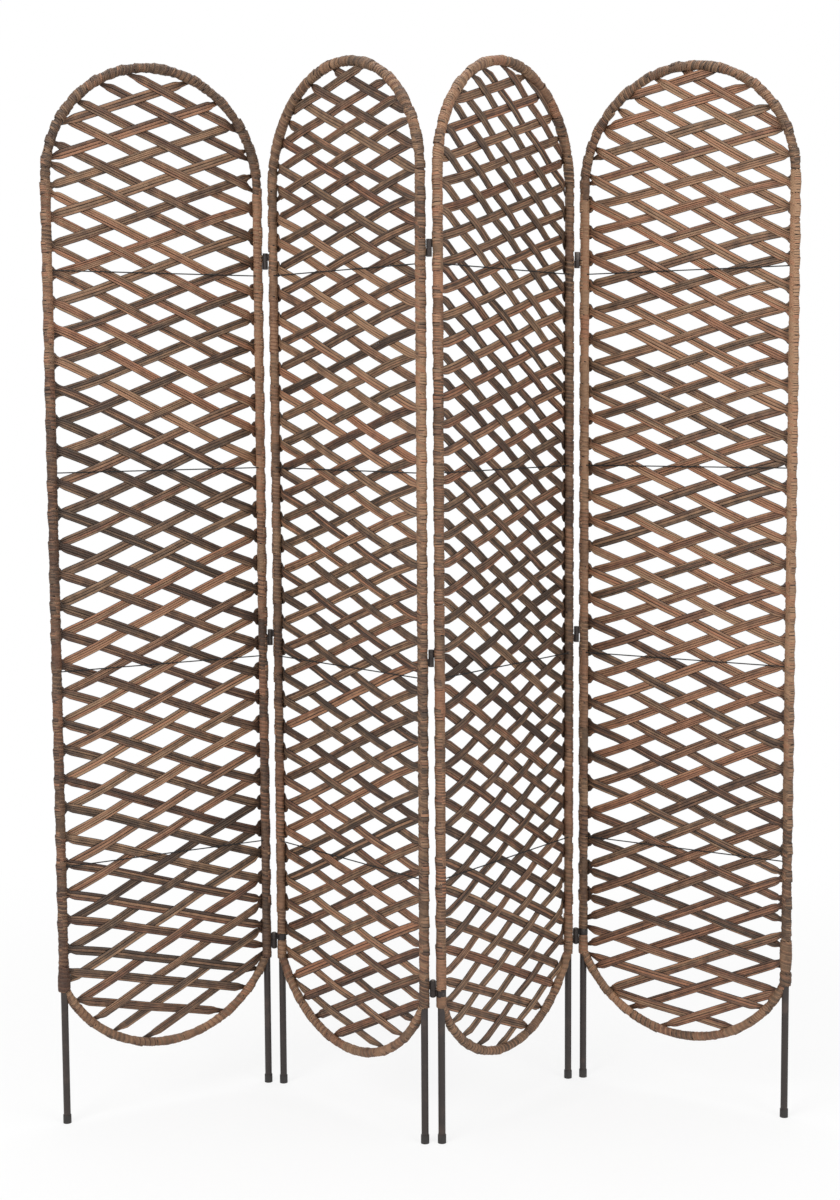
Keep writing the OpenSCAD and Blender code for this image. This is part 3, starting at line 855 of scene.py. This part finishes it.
for panel in panels:
    families = {family: family_bands(panel.number, family)
                for family in ("falling", "rising")}
    tie_knots(families["falling"], families["rising"])
    first = -1 if panel.number in RISING_FIRST else 1
    for family, partner, over in (("falling", "rising", first),
                                  ("rising", "falling", -first)):
        work = ReedWork()
        for number, band in enumerate(families[family]):
            path, across, spread, wound, shadow = laid_band(
                band, number, families[partner], over)
            light, red = next(batch[1:]
                              for batch in reversed(BATCHES[panel.number, family])
                              if band.middle >= batch[0])
            light += chance.normal(0, BAND_LIGHTER)
            red += chance.normal(0, BAND_REDDER)
            colours = [winding_colour(band.ends[way], WINDING[panel.number])
                       for way in (-1, 1)]
            at_left = path[:, 0] < HALF_WIDTH
            rod_light, rod_red = (np.where(at_left, *pair) for pair in zip(*colours))
            light = light * (1 - wound) + rod_light * wound - SHADOW_STRENGTH * shadow
            red = red * (1 - wound) + rod_red * wound
            strands = int(chance.choice(list(STRAND_COUNTS),
                                        p=list(STRAND_COUNTS.values())))
            width = BAND_WIDTH / strands
            for strand in range(strands):
                place = (strand - (strands - 1) / 2) * width
                place = place + WAVER * np.sin(
                    path[:, 0] / WAVER_LENGTH + chance.uniform(0, FULL_TURN))
                strand_path = path + across * (place * spread)[:, None]
                strand_path[:, 1] += RIPPLE * np.sin(
                    path[:, 0] / RIPPLE_LENGTH + chance.uniform(0, FULL_TURN))
                work.lay(strand_path, across, width * STRAND_FULLNESS * spread,
                         STRAND_THICKNESS * (1 - WRAP_THINNING * wound),
                         light + chance.normal(0, REED_LIGHTER),
                         red + chance.normal(0, REED_REDDER))
        work.piece(f"{family}_reeds_{panel.number}", panel,
                   f"{family}_strips_{panel.number}", f"{family}_reed")


# ---- Studio ----------------------------------------------------------------------
# A white floor that runs into a white background, three large soft lamps, and a camera
# with the photograph's lens at the height of a standing person's chest.

FLOOR_CORNERS = [(-8, -6, 0), (8, -6, 0), (8, 9, 0), (-8, 9, 0)]
# The floor shows some shadow close to the screen and is plain white farther out: from
# and to which distance this changes, in metres, and how white it is at least
SHADOW_RANGE = (0.7, 2.0)
FLOOR_GLOW = 0.75
WORLD_LIGHT = 0.55
WHITE = (1, 1, 1, 1)


def shown_white(paint):
    """1 for what the camera sees, straight or in a mirror or through glass, 0 for light"""
    return sum(paint.node("ShaderNodeLightPath", f"Is {kind} Ray")
               for kind in ("Camera", "Glossy", "Transmission"))


floor_mesh = bpy.data.meshes.new("floor")
floor_mesh.from_pydata(FLOOR_CORNERS, [], [(0, 1, 2, 3)])
floor = bpy.data.objects.new("floor", floor_mesh)
bpy.context.scene.collection.objects.link(floor)
floor_paint = Paint(bpy.data.materials.new("floor_white"))
floor_paint.finish(Base_Color=(0.85, 0.85, 0.85, 1.0), Roughness=0.9)
from_middle = floor_paint.node("ShaderNodeVectorMath", "Value", {"operation": "LENGTH"},
                               i0=floor_paint.place())
glow = floor_paint.node("ShaderNodeEmission", 0, Color=WHITE, Strength=1.0)
matt = Look(floor_paint, floor_paint.shader.outputs[0])
white = floor_paint.node(
    "ShaderNodeMixShader", 0, i1=matt, i2=glow,
    i0=shown_white(floor_paint)
    * floor_paint.stretch(from_middle, *SHADOW_RANGE, FLOOR_GLOW, 1.0))
floor_paint.feed(floor_paint.tree.nodes["Material Output"].inputs["Surface"], white)
floor.data.materials.append(floor_paint.owner)

world = bpy.data.worlds.new("studio")
bpy.context.scene.world = world
sky = Paint(world, "Background")
sky.finish(Color=WHITE, Strength=sky.stretch(shown_white(sky), 0, 1, WORLD_LIGHT, 1.0))


def soft_lamp(name, place, aim, size, power):
    lamp = bpy.data.lights.new(name, "AREA")
    lamp.shape = "SQUARE"
    lamp.size = size
    lamp.energy = power
    holder = bpy.data.objects.new(name, lamp)
    bpy.context.scene.collection.objects.link(holder)
    holder.location = place
    facing = Vector(aim) - Vector(place)
    holder.rotation_euler = facing.to_track_quat("-Z", "Y").to_euler()


soft_lamp("key_lamp", place=(-2.6, -3.4, 3.2), aim=(0, 0, 0.9), size=2.2, power=120)
soft_lamp("fill_lamp", place=(2.8, -3.0, 2.2), aim=(0, 0, 0.9), size=2.4, power=70)
soft_lamp("top_lamp", place=(0, 0.4, 4.2), aim=(0, 0, 0.5), size=2.5, power=60)

FOCAL_PIXELS = 1929.1
IMAGE_WIDTH, IMAGE_HEIGHT = 840, 1200
OPTICAL_CENTRE = (401.7, 578.4)
SENSOR_HEIGHT = 36.0
CAMERA_PLACE = (0.0131, -3.2716, 1.2411)
turn, tilt, roll = math.radians(-0.866), math.radians(5.415), math.radians(0.38)
camera_data = bpy.data.cameras.new("camera")
camera_data.sensor_fit = "VERTICAL"
camera_data.sensor_height = SENSOR_HEIGHT
camera_data.lens = FOCAL_PIXELS * SENSOR_HEIGHT / IMAGE_HEIGHT
camera_data.shift_x = (IMAGE_WIDTH / 2 - OPTICAL_CENTRE[0]) / IMAGE_HEIGHT
camera_data.shift_y = (OPTICAL_CENTRE[1] - IMAGE_HEIGHT / 2) / IMAGE_HEIGHT
camera = bpy.data.objects.new("camera", camera_data)
bpy.context.scene.collection.objects.link(camera)
ahead = Vector((math.sin(turn) * math.cos(tilt), math.cos(turn) * math.cos(tilt),
                -math.sin(tilt)))
level = Vector((math.cos(turn), -math.sin(turn), 0))
below = ahead.cross(level)
rightward = level * math.cos(roll) + below * math.sin(roll)
downward = -level * math.sin(roll) + below * math.cos(roll)
camera.matrix_world = Matrix.Translation(CAMERA_PLACE) @ Matrix(
    (rightward, -downward, -ahead)).transposed().to_4x4()
bpy.context.scene.camera = camera
bpy.context.scene.view_settings.view_transform = "Standard"
